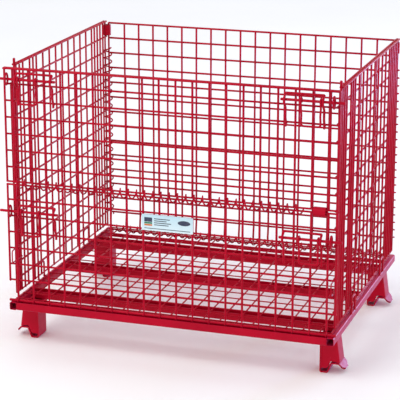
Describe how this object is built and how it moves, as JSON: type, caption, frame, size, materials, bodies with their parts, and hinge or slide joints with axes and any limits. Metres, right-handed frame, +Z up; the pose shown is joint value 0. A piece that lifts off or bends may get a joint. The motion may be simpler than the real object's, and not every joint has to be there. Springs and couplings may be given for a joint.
{
  "type": "wire mesh box pallet",
  "caption": "Folding steel wire mesh box pallet with a channel base, stacking feet, coil-hinged sides and back, and a two-part front gate with sliding bolts.",
  "frame": {"origin": "on the ground under the centre of the object's box", "axes": "+X to the right seen from the front, -Y out of the front gate, +Z up"},
  "size_m": [1.04, 0.8324, 0.87],
  "materials": {
    "frame_paint": "glossy crimson paint on pressed steel channel",
    "foot_paint": "semi-gloss crimson paint on bent steel strip",
    "mesh_paint": "glossy crimson paint on welded wire",
    "rod_paint": "glossy crimson paint on steel rod",
    "coil_paint": "crimson paint on coiled wire, darker where turns shade each other",
    "clip_paint": "glossy crimson paint on folded sheet steel",
    "latch_paint": "glossy crimson paint on bent rod, rubbed where it slides",
    "label_face": "printed plastic identification plate"
  },
  "bodies": {
    "base": {"front_rail": "frame_paint", "rear_rail": "frame_paint", "left_rail": "frame_paint", "right_rail": "frame_paint", "front_beam": "frame_paint", "middle_beam": "frame_paint", "rear_beam": "frame_paint", "floor_mesh": "mesh_paint", "front_hinge_rod": "rod_paint", "rear_hinge_rod": "rod_paint", "rear_coil": "coil_paint", "front_left_foot_strip": "foot_paint", "front_left_foot_shell": "foot_paint", "front_left_staple": "rod_paint", "rear_left_foot_strip": "foot_paint", "rear_left_foot_shell": "foot_paint", "rear_left_staple": "rod_paint", "front_right_foot_strip": "foot_paint", "front_right_foot_shell": "foot_paint", "front_right_staple": "rod_paint", "rear_right_foot_strip": "foot_paint", "rear_right_foot_shell": "foot_paint", "rear_right_staple": "rod_paint"},
    "back": {"back_panel": "mesh_paint", "left_coil": "coil_paint", "right_coil": "coil_paint", "left_clip": "clip_paint", "right_clip": "clip_paint"},
    "left_side": {"left_panel": "mesh_paint", "left_corner_pin": "rod_paint", "left_keeper": "rod_paint"},
    "right_side": {"right_panel": "mesh_paint", "right_corner_pin": "rod_paint", "right_keeper": "rod_paint"},
    "lower_left_bolt_body": {"lower_left_bolt": "latch_paint"},
    "lower_left_handle_body": {"lower_left_handle": "latch_paint"},
    "upper_left_bolt_body": {"upper_left_bolt": "latch_paint"},
    "upper_left_handle_body": {"upper_left_handle": "latch_paint"},
    "lower_right_bolt_body": {"lower_right_bolt": "latch_paint"},
    "lower_right_handle_body": {"lower_right_handle": "latch_paint"},
    "upper_right_bolt_body": {"upper_right_bolt": "latch_paint"},
    "upper_right_handle_body": {"upper_right_handle": "latch_paint"},
    "lower_gate_half": {"lower_gate": "mesh_paint", "gate_coil": "coil_paint", "gate_clip": "clip_paint", "label_plate": "label_face", "lower_left_bracket": "latch_paint", "lower_left_eye": "latch_paint", "lower_right_bracket": "latch_paint", "lower_right_eye": "latch_paint"},
    "upper_gate_half": {"upper_gate": "mesh_paint", "upper_left_bracket": "latch_paint", "upper_left_eye": "latch_paint", "upper_right_bracket": "latch_paint", "upper_right_eye": "latch_paint"}
  },
  "joints": [
    {"name": "back_tip", "type": "hinge", "parent": "base", "child": "back", "pos_m": [0, 0.39725, 0.139], "axis": [-1, 0, 0], "range_deg": [0, 90]},
    {"name": "left_side_fold", "type": "hinge", "parent": "back", "child": "left_side", "pos_m": [-0.485, 0.39725, 0.5], "axis": [0, 0, 1], "range_deg": [0, 90]},
    {"name": "right_side_fold", "type": "hinge", "parent": "back", "child": "right_side", "pos_m": [0.485, 0.39725, 0.5], "axis": [0, 0, -1], "range_deg": [0, 84]},
    {"name": "lower_gate_open", "type": "hinge", "parent": "base", "child": "lower_gate_half", "pos_m": [0, -0.38875, 0.1403], "axis": [1, 0, 0], "range_deg": [0, 90]},
    {"name": "upper_gate_fold", "type": "hinge", "parent": "lower_gate_half", "child": "upper_gate_half", "pos_m": [0, -0.39225, 0.5055], "axis": [1, 0, 0], "range_deg": [0, 145]},
    {"name": "lower_left_bolt_slide", "type": "slide", "parent": "lower_gate_half", "child": "lower_left_bolt_body", "axis": [1, 0, 0], "range_m": [0, 0.04]},
    {"name": "lower_left_handle_swing", "type": "hinge", "parent": "lower_left_bolt_body", "child": "lower_left_handle_body", "pos_m": [-0.394, -0.40325, 0.423], "axis": [-1, 0, 0], "range_deg": [0, 160]},
    {"name": "lower_right_bolt_slide", "type": "slide", "parent": "lower_gate_half", "child": "lower_right_bolt_body", "axis": [-1, 0, 0], "range_m": [0, 0.04]},
    {"name": "lower_right_handle_swing", "type": "hinge", "parent": "lower_right_bolt_body", "child": "lower_right_handle_body", "pos_m": [0.394, -0.40325, 0.423], "axis": [-1, 0, 0], "range_deg": [0, 160]},
    {"name": "upper_left_bolt_slide", "type": "slide", "parent": "upper_gate_half", "child": "upper_left_bolt_body", "axis": [1, 0, 0], "range_m": [0, 0.04]},
    {"name": "upper_left_handle_swing", "type": "hinge", "parent": "upper_left_bolt_body", "child": "upper_left_handle_body", "pos_m": [-0.394, -0.40325, 0.821], "axis": [-1, 0, 0], "range_deg": [0, 160]},
    {"name": "upper_right_bolt_slide", "type": "slide", "parent": "upper_gate_half", "child": "upper_right_bolt_body", "axis": [-1, 0, 0], "range_m": [0, 0.04]},
    {"name": "upper_right_handle_swing", "type": "hinge", "parent": "upper_right_bolt_body", "child": "upper_right_handle_body", "pos_m": [0.394, -0.40325, 0.821], "axis": [-1, 0, 0], "range_deg": [0, 160]}
  ]
}
